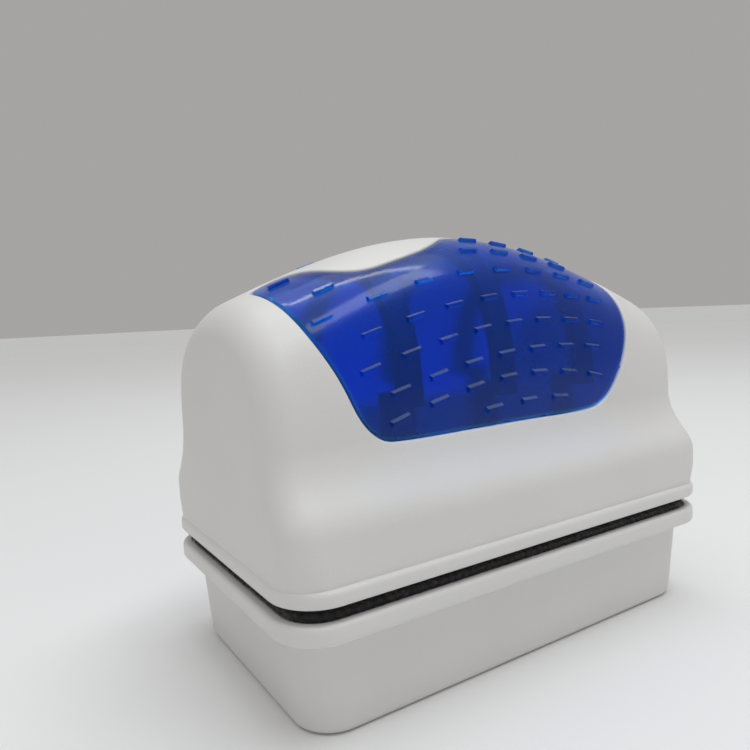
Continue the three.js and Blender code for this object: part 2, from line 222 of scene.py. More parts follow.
# %% Shader helpers
class Signal:
    """One output socket, with the sums that a material needs."""

    def __init__(self, paint, socket):
        self.paint = paint
        self.socket = socket

    def sum(self, operation, first, second):
        return self.paint.node("ShaderNodeMath", {"operation": operation}, {0: first, 1: second})

    def __add__(self, other):
        return self.sum("ADD", self, other)

    def __sub__(self, other):
        return self.sum("SUBTRACT", self, other)

    def __mul__(self, other):
        return self.sum("MULTIPLY", self, other)

    def __rsub__(self, other):
        return self.sum("SUBTRACT", other, self)

    __radd__ = __add__
    __rmul__ = __mul__


class Paint:
    """A material under construction, with its principled shader at hand."""

    def __init__(self, name, **constants):
        self.material = bpy.data.materials.new(name)
        self.material.use_nodes = True
        self.tree = self.material.node_tree
        self.shader = self.tree.nodes["Principled BSDF"]
        for socket, value in constants.items():
            self.shader.inputs[socket.replace("_", " ")].default_value = value
        self.place = self.node("ShaderNodeTexCoord", output="Object")

    def node(self, kind, settings=None, inputs=None, output=0):
        node = self.tree.nodes.new(kind)
        for key, value in (settings or {}).items():
            setattr(node, key, value)
        for socket, value in (inputs or {}).items():
            self.feed(node.inputs[socket], value)
        return Signal(self, node.outputs[output])

    def feed(self, socket, value):
        if isinstance(value, Signal):
            self.tree.links.new(value.socket, socket)
        else:
            socket.default_value = value

    def noise(self, scale, detail=2.0, roughness=0.5, where=None):
        return self.node("ShaderNodeTexNoise", None, {
            "Vector": where or self.place, "Scale": scale, "Detail": detail, "Roughness": roughness})

    def mix(self, amount, first, second):
        return self.node("ShaderNodeMix", {"data_type": "RGBA"}, {0: amount, 6: first, 7: second}, output=2)

    def drive(self, socket, value):
        self.feed(self.shader.inputs[socket], value)

    def let_light_through(self, tint):
        """Lamps shine through the wall with a tint, where glass alone would cast a black shadow."""
        path = self.node("ShaderNodeLightPath", output="Is Shadow Ray")
        clear = self.node("ShaderNodeBsdfTransparent", None, {"Color": tint})
        solid = Signal(self, self.shader.outputs["BSDF"])
        both = self.node("ShaderNodeMixShader", None, {0: path, 1: solid, 2: clear})
        self.feed(self.tree.nodes["Material Output"].inputs["Surface"], both)

    def bump(self, height, distance, strength=1.0):
        self.drive("Normal", self.node("ShaderNodeBump", None,
                                       {"Height": height, "Distance": distance, "Strength": strength}))


def coat(piece, paint):
    """Gives a piece its material."""
    piece.data.materials.clear()
    piece.data.materials.append(paint.material)


print("helpers ready")

# %% [markdown]
# ## White plastic
# Moulded ABS has a satin skin: the mould is spark eroded, so the surface is covered in pits a
# few tenths of a millimetre across. Two noises make it, a fine one for the pits and a slow one
# for the faint unevenness of colour and gloss that handling leaves.

# %% White plastic
white_plastic = Paint("white_plastic", Specular_IOR_Level=0.45, IOR=1.5)
pits = white_plastic.noise(2600, detail=3, roughness=0.6)
mottle = white_plastic.noise(38, detail=3)
white_plastic.drive("Base Color", white_plastic.mix(mottle, (0.70, 0.69, 0.675, 1), (0.76, 0.755, 0.75, 1)))
white_plastic.drive("Roughness", 0.36 + 0.12 * pits + 0.06 * mottle)
white_plastic.bump(pits, 0.00006, 0.35)
print("white plastic made")

# %% [markdown]
# ## Translucent blue plastic
# The grip is tinted clear plastic about two millimetres thick. Light enters it, comes back from
# the white inside, and is filtered to a deep blue, so what stands behind it shows as dark bars.
# Part of the light goes through and part is scattered by the pigment, which the transmission
# weight shares out. The upper slopes of the raised dashes face the light from above, and their
# bright line is a painted highlight: those slopes are mixed to a pale blue, and made rougher
# with little coat. A number on each face tells the shader where they are, and another, called
# rim, marks the rounded edge, where a paler cyan is painted for the light inside that comes out.

# %% Blue plastic
blue_plastic = Paint("blue_plastic", IOR=1.2, Transmission_Weight=0.88, Coat_Roughness=0.09,
                     Coat_IOR=1.2, Specular_IOR_Level=0.0)
blue_plastic.let_light_through((0.28, 0.66, 0.96, 1))
haze = blue_plastic.noise(60, detail=3)
peel = blue_plastic.noise(1500, detail=2)
painted_highlight_slope = blue_plastic.node("ShaderNodeAttribute", {"attribute_name": "painted_highlight_slope"}, output="Fac")
rim = blue_plastic.node("ShaderNodeAttribute", {"attribute_name": "rim"}, output="Fac")
tint = blue_plastic.mix(haze, (0.004, 0.14, 0.78, 1), (0.010, 0.18, 0.86, 1))
# painted light: the rounded rim faces are mixed to a paler cyan for the light that comes out at the edge
tint = blue_plastic.mix(rim, tint, (0.03, 0.38, 0.80, 1))
# painted highlight: the up-facing dash slopes are mixed to a pale blue, and made rougher with less coat
blue_plastic.drive("Base Color", blue_plastic.mix(painted_highlight_slope, tint, (0.60, 0.70, 0.97, 1)))
blue_plastic.drive("Roughness", 0.20 + 0.12 * haze + 0.3 * painted_highlight_slope)
blue_plastic.drive("Coat Weight", 1 - 0.8 * painted_highlight_slope)
blue_plastic.bump(peel, 0.00004, 0.35)
print("blue plastic made")

# %% [markdown]
# ## Black felt and scrubbing fabric
# Both pads are black cloth. The felt is a mat of fine fibres, the scrubbing pad a coarser loop
# fabric with pits between the loops, and both have the soft sheen of fibres at a low angle.

# %% Felt and scrubbing fabric
felt = Paint("felt", Roughness=0.95, Sheen_Weight=0.35, Sheen_Roughness=0.6)
fibres = felt.noise(3200, detail=5, roughness=0.7)
tufts = felt.noise(700, detail=3)
felt.drive("Base Color", felt.mix(fibres, (0.006, 0.006, 0.007, 1), (0.035, 0.035, 0.04, 1)))
felt.bump(fibres + 0.6 * tufts, 0.0003, 0.8)

scrub_fabric = Paint("scrub_fabric", Roughness=0.9, Sheen_Weight=0.25, Sheen_Roughness=0.5)
loops = scrub_fabric.node("ShaderNodeTexVoronoi", {"feature": "F1"},
                          {"Vector": scrub_fabric.place, "Scale": 900}, output="Distance")
threads = scrub_fabric.noise(2600, detail=4, roughness=0.65)
scrub_colour = scrub_fabric.mix(loops, (0.045, 0.045, 0.05, 1), (0.004, 0.004, 0.005, 1))
scrub_fabric.drive("Base Color", scrub_colour)
scrub_fabric.bump(threads * 0.5 - loops, 0.0004, 0.8)
print("fabrics made")

# %% [markdown]
# ## Finishes of the inner pieces
# The ribs, magnets, yokes, screws and seal are only seen through the blue grip or from below,
# but each still gets what its real surface has: a grain for ferrite, rolling marks for steel.

# %% Inner finishes
dark_plastic = Paint("dark_plastic", Specular_IOR_Level=0.4)
dark_grain = dark_plastic.noise(1800, detail=3)
dark_colour = dark_plastic.mix(dark_grain, (0.006, 0.006, 0.02, 1), (0.014, 0.014, 0.035, 1))
dark_plastic.drive("Base Color", dark_colour)
dark_plastic.drive("Roughness", 0.45 + 0.15 * dark_grain)
dark_plastic.bump(dark_grain, 0.00005, 0.4)

ferrite = Paint("ferrite", Metallic=0.15)
sinter = ferrite.noise(2200, detail=5, roughness=0.7)
ferrite.drive("Base Color", ferrite.mix(sinter, (0.055, 0.055, 0.06, 1), (0.11, 0.11, 0.115, 1)))
ferrite.drive("Roughness", 0.6 + 0.25 * sinter)
ferrite.bump(sinter, 0.00008, 0.6)

zinc_steel = Paint("zinc_steel", Metallic=1.0)
rolling = zinc_steel.node("ShaderNodeMapping", None,
                          {"Vector": zinc_steel.place, "Scale": (60, 2400, 2400)})
marks = zinc_steel.noise(1, detail=4, where=rolling)
zinc_steel.drive("Base Color", zinc_steel.mix(marks, (0.52, 0.53, 0.55, 1), (0.68, 0.69, 0.70, 1)))
zinc_steel.drive("Roughness", 0.25 + 0.25 * marks)
zinc_steel.bump(marks, 0.00003, 0.3)

seal_rubber = Paint("seal_rubber", Specular_IOR_Level=0.3)
bloom = seal_rubber.noise(900, detail=3)
seal_rubber.drive("Base Color", seal_rubber.mix(bloom, (0.02, 0.02, 0.02, 1), (0.045, 0.045, 0.045, 1)))
seal_rubber.drive("Roughness", 0.7 + 0.2 * bloom)

FINISHES = {"white_plastic": white_plastic, "blue_plastic": blue_plastic, "felt": felt,
            "scrub_fabric": scrub_fabric, "dark_plastic": dark_plastic, "ferrite": ferrite,
            "zinc_steel": zinc_steel, "seal_rubber": seal_rubber}
for row in frame["record"]["subparts"]:
    coat(frame["nodes"][row["node"]], FINISHES[row["material_slot"]])
print("finishes", sorted(FINISHES))

# %% [markdown]
# ## The hood as a surface
# The hood has no flat side to start from: its section is an arch on a flared skirt, and the arch
# gets lower towards both ends. So its surface is written as a rule. A point has two coordinates,
# `x` along the length and `s` round the section, counted from the crown, with the front negative.
# Everything that follows the hood, such as the window's rim, the blue grip and its raised dashes,
# is drawn flat in `x` and `s` and then laid on the surface.

# %% Dimensions of the hood, in millimetres
shell_low, shell_high = (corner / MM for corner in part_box("handle_shell"))
LENGTH = shell_high.x - shell_low.x
DEPTH = shell_high.y - shell_low.y
CROWN = shell_high.z
LIP_BOTTOM = shell_low.z
LIP_HEIGHT = 2.8
LIP_TOP = LIP_BOTTOM + LIP_HEIGHT
HALF_LENGTH = LENGTH / 2 - 0.5   # the lip stands out past the hood
SKIRT = 29.5
GRIP = 23.3
SKIRT_TOP = 33.2
GRIP_BOTTOM = 46.0
ARCH_BOTTOM = 44.7
CORNERS = ((24.1, 8.0), (30.0, 5.5), (GRIP_BOTTOM, 5.4), (CROWN, 5.0))   # height and corner radius
WALL = 2.2
CROWN_FALL = 0.0064   # how fast the crown drops away from mid length
CROWN_EASE = 4e-7     # and how that slackens towards the ends
ARCH_WIDTH_POWER = 2.2
ARCH_HEIGHT_POWER = 3
FLARE_RISE = 5        # handles of the flare's curve, up from the skirt and down from the wall
FLARE_DROP = 7
FLARE_LEAN = 0.8
WALL_END = 0.9        # height above a lip's underside at which the wall inside it ends


def crown_height(x):
    return CROWN - CROWN_FALL * x ** 2 + CROWN_EASE * x ** 4


def middle_section(count=240):
    """Half the section at mid length, from the crown down to the skirt's foot: s, y and z."""
    turn = np.linspace(math.pi / 2, 0, count)
    width = np.cos(turn) ** (2 / ARCH_WIDTH_POWER)
    height = np.sin(turn) ** (2 / ARCH_HEIGHT_POWER)
    arch = np.stack([GRIP * width, ARCH_BOTTOM + (CROWN - ARCH_BOTTOM) * height], 1)
    arch[0, 0] = 0
    arch = arch[arch[:, 1] > GRIP_BOTTOM]
    t = np.linspace(0, 1, 60)[:, None]
    control = np.array([[GRIP, GRIP_BOTTOM], [GRIP + FLARE_LEAN, GRIP_BOTTOM - FLARE_DROP],
                        [SKIRT, SKIRT_TOP + FLARE_RISE], [SKIRT, SKIRT_TOP]])
    flare = sum(weight * point for weight, point in zip(
        ((1 - t) ** 3, 3 * t * (1 - t) ** 2, 3 * t ** 2 * (1 - t), t ** 3), control))
    foot = np.array([[SKIRT, LIP_BOTTOM + WALL_END]])
    line = np.concatenate([arch, flare, foot])
    s = np.concatenate([[0], np.cumsum(np.linalg.norm(np.diff(line, axis=0), axis=1))])
    return s, line[:, 0], line[:, 1]


SECTION_S, SECTION_Y, SECTION_Z = middle_section()
REACH = SECTION_S[-1]
NEAR_CROWN = slice(0, 200)   # the part of the section where y still grows
print("half section is", round(REACH, 1), "mm round")


# %% Laying flat points on the hood
def squeeze(x):
    """How much lower the arch is at x than at mid length, as a share."""
    return (crown_height(x) - ARCH_BOTTOM) / (CROWN - ARCH_BOTTOM)


def hood_place(x, s):
    y = np.interp(np.abs(s), SECTION_S, SECTION_Y) * np.sign(s)
    z = np.interp(np.abs(s), SECTION_S, SECTION_Z)
    z = np.where(z > ARCH_BOTTOM, ARCH_BOTTOM + (z - ARCH_BOTTOM) * squeeze(x), z)
    return np.stack([x, y, z], -1)


def unit(vectors):
    return vectors / np.linalg.norm(vectors, axis=-1, keepdims=True)


def hood_normal(x, s, step=0.05):
    along = hood_place(x + step, s) - hood_place(x - step, s)
    across = hood_place(x, s + step) - hood_place(x, s - step)
    return unit(np.cross(along, across))


def corner_radius(s):
    heights, radii = zip(*CORNERS)
    return np.interp(np.interp(np.abs(s), SECTION_S, SECTION_Z), heights, radii)


def end_ring(side, turn, s):
    """Points round an end's rounding, and which way each faces: turn 0 is the side, 90 the end."""
    radius = corner_radius(s)
    x = side * (HALF_LENGTH - radius + radius * math.sin(turn))
    facing = hood_normal(x, s)
    facing[:, 0] = 0
    facing = unit(facing)
    place = hood_place(x, s) - radius[:, None] * (1 - math.cos(turn)) * facing
    end = np.array([side, 0, 0])
    return place, unit(facing * math.cos(turn) + end * math.sin(turn))


def s_at(x, z=None, y=None):
    """The s of the point at x with a given height on the front, or a given y near the crown."""
    if z is not None:
        flat = ARCH_BOTTOM + (z - ARCH_BOTTOM) / squeeze(x)
        return -np.interp(-flat, -SECTION_Z, SECTION_S)
    return np.sign(y) * np.interp(abs(y), SECTION_Y[NEAR_CROWN], SECTION_S[NEAR_CROWN])


print("height of the end's crown", round(float(hood_place(np.array(50.0), np.array(0.0))[2]), 1))

# %% [markdown]
# ## The window's outline
# A window opens the front wall from just above the flare up to the crown, where its edge swings
# forward and back again. The same window, turned half round, opens the back wall, so a white
# crest in the shape of an S is left between them.


# %% Outline of the window
def smooth_curve(points, count):
    """Even points along a smooth curve through the given ones (Catmull-Rom)."""
    p = np.array(points, float)
    p = np.concatenate([[2 * p[0] - p[1]], p, [2 * p[-1] - p[-2]]])
    t = np.linspace(0, 1, 24, endpoint=False)[:, None]
    runs = [b + 0.5 * t * (c - a + t * (2 * a - 5 * b + 4 * c - d + t * (3 * b - 3 * c + d - a)))
            for a, b, c, d in zip(p, p[1:], p[2:], p[3:])]
    line = np.concatenate(runs + [p[-2:-1]])
    return resample(line, count)


def resample(line, count, closed=False):
    """The same line with its points spread evenly."""
    if closed:
        line = np.concatenate([line, line[:1]])
    walk = np.concatenate([[0], np.cumsum(np.linalg.norm(np.diff(line, axis=0), axis=1))])
    stops = np.linspace(0, walk[-1], count, endpoint=not closed)
    return np.stack([np.interp(stops, walk, line[:, k]) for k in range(line.shape[1])], 1)


WINDOW_SIDES = [       # x and height, seen from the front, from the upper left down and up to the right
    [-47, 90], [-45.5, 78], [-44.3, 71], [-42, 64.5], [-38, 56.5], [-35, 50], [-31.8, 46.5], [-27, 45.3],
    [0, 45.3], [20, 45.3], [26, 46.7], [30, 50.5], [33.4, 56], [36, 62], [37.5, 69], [39, 78], [40, 90],
]
WINDOW_TOP_EDGE = [    # x and y, seen from above
    [-53, -9], [-46.5, -4], [-42, 2], [-37.5, 1.5], [-34.5, -3.5], [-31.5, -9.5], [-27, -12.6],
    [-20, -12.6], [-12, -11.2], [-6, -8], [0, -3.2], [8, -1.2], [20, -1], [31, -2.5], [37, -6],
    [41, -11], [53, -30],
]
BELOW_CROWN = 0.15     # where the sides stop, short of the crown
CORNER_GAP = 0.2       # left open where the sides meet the upper edge, for the corner to be drawn round
CORNER_TRIM = 0.3

sides = smooth_curve(WINDOW_SIDES, 600)
sides = sides[sides[:, 1] < crown_height(sides[:, 0]) - BELOW_CROWN]
lower = np.array([[x, s_at(x, z=z)] for x, z in sides])
top = smooth_curve(WINDOW_TOP_EDGE, 600)
top_s = np.array([[x, s_at(x, y=y)] for x, y in top])
lower = lower[lower[:, 1] < np.interp(lower[:, 0], top_s[:, 0], top_s[:, 1]) - CORNER_GAP]
after_left = top_s[:, 0] > lower[0, 0] + CORNER_TRIM
before_right = top_s[:, 0] < lower[-1, 0] - CORNER_TRIM
upper = top_s[after_left & before_right]
window = resample(np.concatenate([lower, upper[::-1]]), 300, closed=True)
for _ in range(6):
    window = (np.roll(window, 1, 0) + 2 * window + np.roll(window, -1, 0)) / 4
window = resample(window, 300, closed=True)
print("window from x", window[:, 0].min().round(1), "to", window[:, 0].max().round(1))


# %% Rings beside the outline
def turned(points):
    """The same flat points, half a turn round the middle."""
    return -points


def offset(outline, distance):
    """A closed outline that runs anticlockwise, moved outwards by a distance."""
    along = unit(np.roll(outline, -1, 0) - np.roll(outline, 1, 0))
    return outline + distance * np.stack([along[:, 1], -along[:, 0]], 1)


def inside(points, outline):
    """Which flat points lie inside a closed outline."""
    x, y = points[:, 0:1], points[:, 1:2]
    x1, y1 = outline[:, 0], outline[:, 1]
    x2, y2 = np.roll(x1, -1), np.roll(y1, -1)
    crosses = (y1 > y) != (y2 > y)
    safe = np.where(y2 == y1, 1, y2 - y1)
    return (crosses & (x < (x2 - x1) * (y - y1) / safe + x1)).sum(1) % 2 == 1


def quarter_round(radius, steps):
    """Pairs of how far from an edge and how deep, round a quarter circle."""
    turns = np.linspace(0, math.pi / 2, steps + 1)
    return [(radius * (1 - math.cos(turn)), radius * (1 - math.sin(turn))) for turn in turns]


print("outline helpers ready")


# %% [markdown]
# ## From a flat drawing to a curved wall
# The flat drawing is filled with triangles whose corners are the rings and an even grid, a
# Delaunay net. Each corner is then laid on the hood, and copied a wall's thickness further in for
# the inner face. A knife or a boolean could cut the windows too, but it leaves slivers along the
# cut, and those show on a glossy curve.


# %% Filling an outline
def fill(border, rings, holes, pitch, keep_out=0.6):
    """Triangles over a flat border, using every ring, which is some points and their height.

    The heights come back for each point, with None for those of the grid.
    """
    points, heights, edges = [], [], []
    for loop, height in [(border, 0.0), *rings]:
        first = len(points)
        points += list(map(tuple, loop))
        heights += [height] * len(loop)
        edges += [(first + i, first + (i + 1) % len(loop)) for i in range(len(loop))]
    tree = KDTree(len(points))
    for i, (x, s) in enumerate(points):
        tree.insert((x, s, 0), i)
    tree.balance()
    low, high = border.min(0), border.max(0)
    rows = np.arange(low[1] + pitch / 2, high[1], pitch * 0.866)
    grid = np.array([(x + (row % 2) * pitch / 2, s) for row, s in enumerate(rows)
                     for x in np.arange(low[0] + pitch / 2, high[0], pitch)])
    grid = grid[inside(grid, border)]
    for x, s in grid:
        _, near, distance = tree.find((x, s, 0))
        if distance > keep_out * pitch:
            points.append((x, s))
            heights.append(None)
    made, _, faces, origin, _, _ = delaunay_2d_cdt([Vector(p) for p in points], edges, [], 0, 1e-6)
    flat = np.array([tuple(p) for p in made])
    height = [next((heights[i] for i in came if heights[i] is not None), None) for came in origin]
    faces = np.array([face for face in faces if len(face) == 3])
    middle = flat[faces].mean(1)
    kept = inside(middle, border)
    for hole in holes:
        kept &= ~inside(middle, hole)
    return flat, height, faces[kept]


def wall_piece(name, outer, inner, faces):
    """A closed piece from an outer and an inner copy of one net, joined round every open edge."""
    count = len(outer)
    shell = [tuple(map(int, face)) for face in faces]
    edges = {edge for face in shell for edge in zip(face, face[1:] + face[:1])}
    rim = [(a, b) for a, b in edges if (b, a) not in edges]
    shell += [tuple(corner + count for corner in reversed(face)) for face in shell]
    shell += [(b, a, a + count, b + count) for a, b in sorted(rim)]
    mesh = bpy.data.meshes.new(name)
    mesh.from_pydata((np.concatenate([outer, inner]) * MM).tolist(), [], shell)
    mesh.validate()
    piece = bpy.data.objects.new(name, mesh)
    bpy.context.scene.collection.objects.link(piece)
    only(piece)
    bpy.ops.object.mode_set(mode="EDIT")
    bpy.ops.mesh.select_all(action="SELECT")
    bpy.ops.mesh.delete_loose()
    bpy.ops.object.mode_set(mode="OBJECT")
    return piece


print("net helpers ready")

# %% [markdown]
# ## The hood
# The long middle is one net with two window holes. Each hole's edge is five loops that dip
# into the wall, which gives the soft edge that a moulded opening has. The ends are strips that
# turn through a quarter circle and close with a flat face.

# %% The hood's middle and ends
PITCH = 1.15
EDGE_ROUND = 0.45
BENDS = 9
CAP_MARGIN = 0.5   # keeps the flat end's shading clear of the rounding


def hood_mesh():
    section = np.linspace(-REACH, REACH, int(2 * REACH / PITCH))
    reach_x = HALF_LENGTH - corner_radius(section)
    foot = np.linspace(-reach_x[0], reach_x[0], int(2 * reach_x[0] / PITCH))[1:-1]
    border = np.concatenate([
        np.stack([reach_x, section], 1),
        np.stack([foot[::-1], np.full(len(foot), REACH)], 1),
        np.stack([-reach_x[::-1], section[::-1]], 1),
        np.stack([foot, np.full(len(foot), -REACH)], 1)])
    rings, holes = [], []
    for place in (window, turned(window)):
        for distance, depth in quarter_round(EDGE_ROUND, 4):
            rings.append((offset(place, distance), -depth))
        holes.append(place)
    flat, heights, faces = fill(border, rings, holes, PITCH)
    x, s = flat.T
    facing = hood_normal(x, s)
    skin = hood_place(x, s)
    dip = np.array([height or 0.0 for height in heights])
    outer = [skin + facing * dip[:, None]]
    inner = [skin - facing * WALL]
    nets = [faces]
    total = len(skin)
    for side in (1, -1):
        order = section if side > 0 else section[::-1]
        edge = [int(np.argmin((x - side * reach) ** 2 + (s - at) ** 2)) for reach, at in zip(
            HALF_LENGTH - corner_radius(order), order)]
        previous = np.array(edge)
        for step in range(1, BENDS + 1):
            place, way = end_ring(side, math.pi / 2 * step / BENDS, order)
            previous, total = add_ring(outer, inner, nets, previous, total, place, place - way * WALL)
        nets.append([previous])
    return np.concatenate(outer), np.concatenate(inner), [face for faces in nets for face in faces]


def add_ring(outer, inner, nets, previous, total, place, deep):
    """Joins a new row of points to the previous one by a strip of triangles."""
    count = len(place)
    fresh = np.arange(total, total + count)
    outer.append(place)
    inner.append(deep)
    a, b, c, d = previous[:-1], previous[1:], fresh[1:], fresh[:-1]
    nets.append(np.concatenate([np.stack([a, d, c], 1), np.stack([a, c, b], 1)]))
    return fresh, total + count


outer, inner, net = hood_mesh()
hood = wall_piece("hood", outer, inner, net)
pick(hood, "faces", lambda mesh, face: len(face.vertices) > 4)
bpy.ops.mesh.inset(thickness=CAP_MARGIN * MM)
done()
report(hood)

# %% [markdown]
# ## Lips
# Both halves end in the same lip: a flat rectangular ring with round corners, eased edges and a
# shallow seat for the pad. It is modelled as by hand: a block, its upright edges bevelled to the
# corner radius, insets for the seat and the mouth, and a bridge that opens the mouth.


# %% A lip
LIP_RADIUS = 8.8
LIP_EASE = 0.8
PAD_SEAT = 1.7
SEAT_DEPTH = 0.6
HANDLE_MOUTH = 2.8   # from the lip's outside in to its mouth
FLOAT_MOUTH = 4.1


def lip(name, low, high, mouth, pad_side):
    """A lip between two heights, with its pad seat on the top (1) or the underside (-1)."""
    ring = start_block(name, LENGTH * MM, DEPTH * MM, low * MM, high * MM)
    pick(ring, "edges", upright_edge)
    bpy.ops.mesh.bevel(offset=LIP_RADIUS * MM, segments=14, affect="EDGES")
    done()
    for height in (low, high):
        pick(ring, "edges", edge_at_height(height * MM))
        bpy.ops.mesh.bevel(offset=LIP_EASE * MM, segments=5, affect="EDGES")
        done()
    pick(ring, "faces", face_looking(-pad_side))
    bpy.ops.mesh.inset(thickness=(mouth - LIP_EASE) * MM)
    done()
    pick(ring, "faces", face_looking(pad_side))
    bpy.ops.mesh.inset(thickness=(PAD_SEAT - LIP_EASE) * MM)
    bpy.ops.mesh.extrude_region_move(
        TRANSFORM_OT_translate={"value": (0, 0, -pad_side * SEAT_DEPTH * MM)})
    bpy.ops.mesh.inset(thickness=(mouth - PAD_SEAT) * MM)
    done()
    largest = sorted(ring.data.polygons, key=lambda face: -face.area)[:2]
    chosen = {face.index for face in largest}
    pick(ring, "faces", lambda mesh, face: face.index in chosen)
    bpy.ops.mesh.bridge_edge_loops()
    done()
    return ring


handle_lip = lip("handle_lip", LIP_BOTTOM, LIP_TOP, HANDLE_MOUTH, -1)
handle_hood = join("handle_hood", hood, handle_lip)
soften(handle_hood)
coat(handle_hood, white_plastic)
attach(handle_hood, "handle_half")
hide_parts("handle_shell")
report(handle_hood)

# %% [markdown]
# ## The blue grip
# The grip fills the window with a hair of clearance. Its raised dashes stop wet fingers from
# slipping. They stand in rows, each a gentle curve along the hood, and a dash that would meet the
# window's edge is left out. The dashes are drawn in the flat net too, and rise as part of the same
# skin: a block stuck on top would show its hidden underside through the clear plastic.

# %% Dashes
DASH_LENGTH = 4.1
DASH_WIDTH = 1.3
DASH_HEIGHT = 0.62
DASH_SLOPE = (0.15, 0.46)   # how far the sides lean in, below and above
DASH_MARGIN = 1.6           # least distance from a dash to the window's edge
DASH_ROWS = (               # for each row, its dashes, then where it starts, its middle and its end
    (4, (-5.5, -47), (8, -46.5), (20.5, -47.5)),
    (7, (-27, -46), (-1.5, -41.5), (23, -42.5)),
    (7, (-26.5, -40.5), (-1.5, -37), (23, -36)),
    (8, (-32, -35), (-2.5, -31.5), (25.5, -30)),
    (8, (-30.5, -28), (1, -25.5), (28, -23.5)),
    (8, (-38.5, -21.5), (-1.5, -19.5), (29, -18)),
    (8, (-35.5, -14.5), (-6, -13.5), (23, -14)),
    (9, (-40, -5), (-6, -7.5), (28, -7)),
)


def along_row(guide, t):
    """The flat point on the curve through a row's start, middle and end, for t from 0 to 1."""
    start, middle, end = np.array(guide)
    return (1 - t) * (1 - 2 * t) * start + 4 * t * (1 - t) * middle + t * (2 * t - 1) * end


def spin(tilt):
    return np.array([[math.cos(tilt), math.sin(tilt)], [-math.sin(tilt), math.cos(tilt)]])


def dash_loop(x, s, tilt, lean=(0, 0)):
    """A dash's outline, drawn in by one distance at the ends and below and by another above."""
    half = DASH_LENGTH / 2 - lean[0]
    along = np.linspace(-half, half, 4)
    low = [(u, -DASH_WIDTH / 2 + lean[0]) for u in along]
    high = [(u, DASH_WIDTH / 2 - lean[1]) for u in along[::-1]]
    return np.array(low + high) @ spin(tilt) + (x, s)


def dashes(room):
    """The places and tilts of all dashes that fit inside the flat outline room."""
    found = []
    for count, *guide in DASH_ROWS:
        for t in np.linspace(0, 1, count):
            x, s = along_row(guide, t)
            run, climb = along_row(guide, t + 0.01) - along_row(guide, t - 0.01)
            tilt = math.atan2(climb, run)
            if inside(dash_loop(x, s, tilt), room).all():
                found.append((x, s, tilt))
    return found


places = dashes(offset(window, -DASH_MARGIN))
print("dashes on one grip:", len(places))


def painted_highlight_slopes(flat, faces):
    """Which faces of the net are the upper slopes of dashes, where the highlight is painted."""
    middle = flat[faces].mean(1)
    painted_highlight_slope = np.zeros(len(faces), bool)
    for x, s, tilt in places:
        u, v = ((middle - (x, s)) @ spin(tilt).T).T
        on_slope = (v > DASH_WIDTH / 2 - DASH_SLOPE[1]) & (v < DASH_WIDTH / 2)
        painted_highlight_slope |= on_slope & (abs(u) < DASH_LENGTH / 2 - DASH_SLOPE[0])
    return painted_highlight_slope


# %% The grip
CLEARANCE = 0.2
GRIP_WALL = 2.0
GRIP_DROP = 0.18   # how far the grip lies below the hood's surface
GRIP_EDGE = 0.6
GRIP_PITCH = 0.95


def mark_faces(piece, name, chosen):
    """Writes 1 on the chosen faces of a piece's outer side, and 0 on all others."""
    values = np.zeros(len(piece.data.polygons))
    values[:len(chosen)] = chosen
    piece.data.attributes.new(name, "FLOAT", "FACE").data.foreach_set("value", values)


def grip_piece(name, half_turn):
    border = offset(window, -CLEARANCE)
    rings = [(offset(window, -CLEARANCE - distance), -depth)
             for distance, depth in quarter_round(GRIP_EDGE, 4)[1:]]
    for x, s, tilt in places:
        rings.append((dash_loop(x, s, tilt), 0.0))
        rings.append((dash_loop(x, s, tilt, DASH_SLOPE), DASH_HEIGHT))
    flat, heights, faces = fill(border, rings, [], GRIP_PITCH, keep_out=0.5)
    lift = np.array([height or 0.0 for height in heights])
    edge = {tuple(point) for point in np.round(border, 4)}
    on_edge = np.array([tuple(point) in edge for point in np.round(flat, 4)])
    lift[on_edge] = -GRIP_EDGE
    tops = [dash_loop(x, s, tilt, DASH_SLOPE) for x, s, tilt in places]
    loose = np.array([height is None for height in heights])
    for loop in tops:
        lift[loose & inside(flat, loop)] = DASH_HEIGHT
    # the upper dash slopes, which the blue plastic paints paler as a highlight
    painted_highlight_slope = painted_highlight_slopes(flat, faces)
    # the rounded rim, which the blue plastic paints a paler cyan as light coming out
    at_rim = ~inside(flat[faces].mean(1), offset(window, -CLEARANCE - GRIP_EDGE))
    if half_turn:
        flat = turned(flat)
    x, s = flat.T
    facing = hood_normal(x, s)
    skin = hood_place(x, s)
    outside = skin + facing * (lift - GRIP_DROP)[:, None]
    piece = wall_piece(name, outside, skin - facing * GRIP_WALL, faces)
    mark_faces(piece, "painted_highlight_slope", painted_highlight_slope)
    mark_faces(piece, "rim", at_rim)
    return piece


for name, node, half_turn in (("grip_front", "grip_inlay_front", False),
                              ("grip_rear", "grip_inlay_rear", True)):
    grip = grip_piece(name, half_turn)
    soften(grip, 25)
    coat(grip, blue_plastic)
    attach(grip, "handle_half")
    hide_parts(node)
    report(grip)

# %% [markdown]
# ## The float's tub
# The tub is a drafted box, a little wider at the top so that it leaves its mould. By hand: a
# block, its top face scaled up, the upright edges bevelled, the floor's edge rounded, then the
# chamber pushed down from the top face. The lip is joined on.

# %% The tub
FLOAT_LIP_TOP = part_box("float_case")[1].z / MM
FLOAT_LIP_HEIGHT = 3.4
FLOAT_LIP_BOTTOM = FLOAT_LIP_TOP - FLOAT_LIP_HEIGHT
TUB_TOP = FLOAT_LIP_BOTTOM + WALL_END
TUB_FOOT = (96.2, 52.9)
TUB_HEAD = (98.6, 55.2)
TUB_CORNER = 7.4
TUB_EDGE = 1.4
TUB_WALL = 3.2
TUB_FLOOR = 2

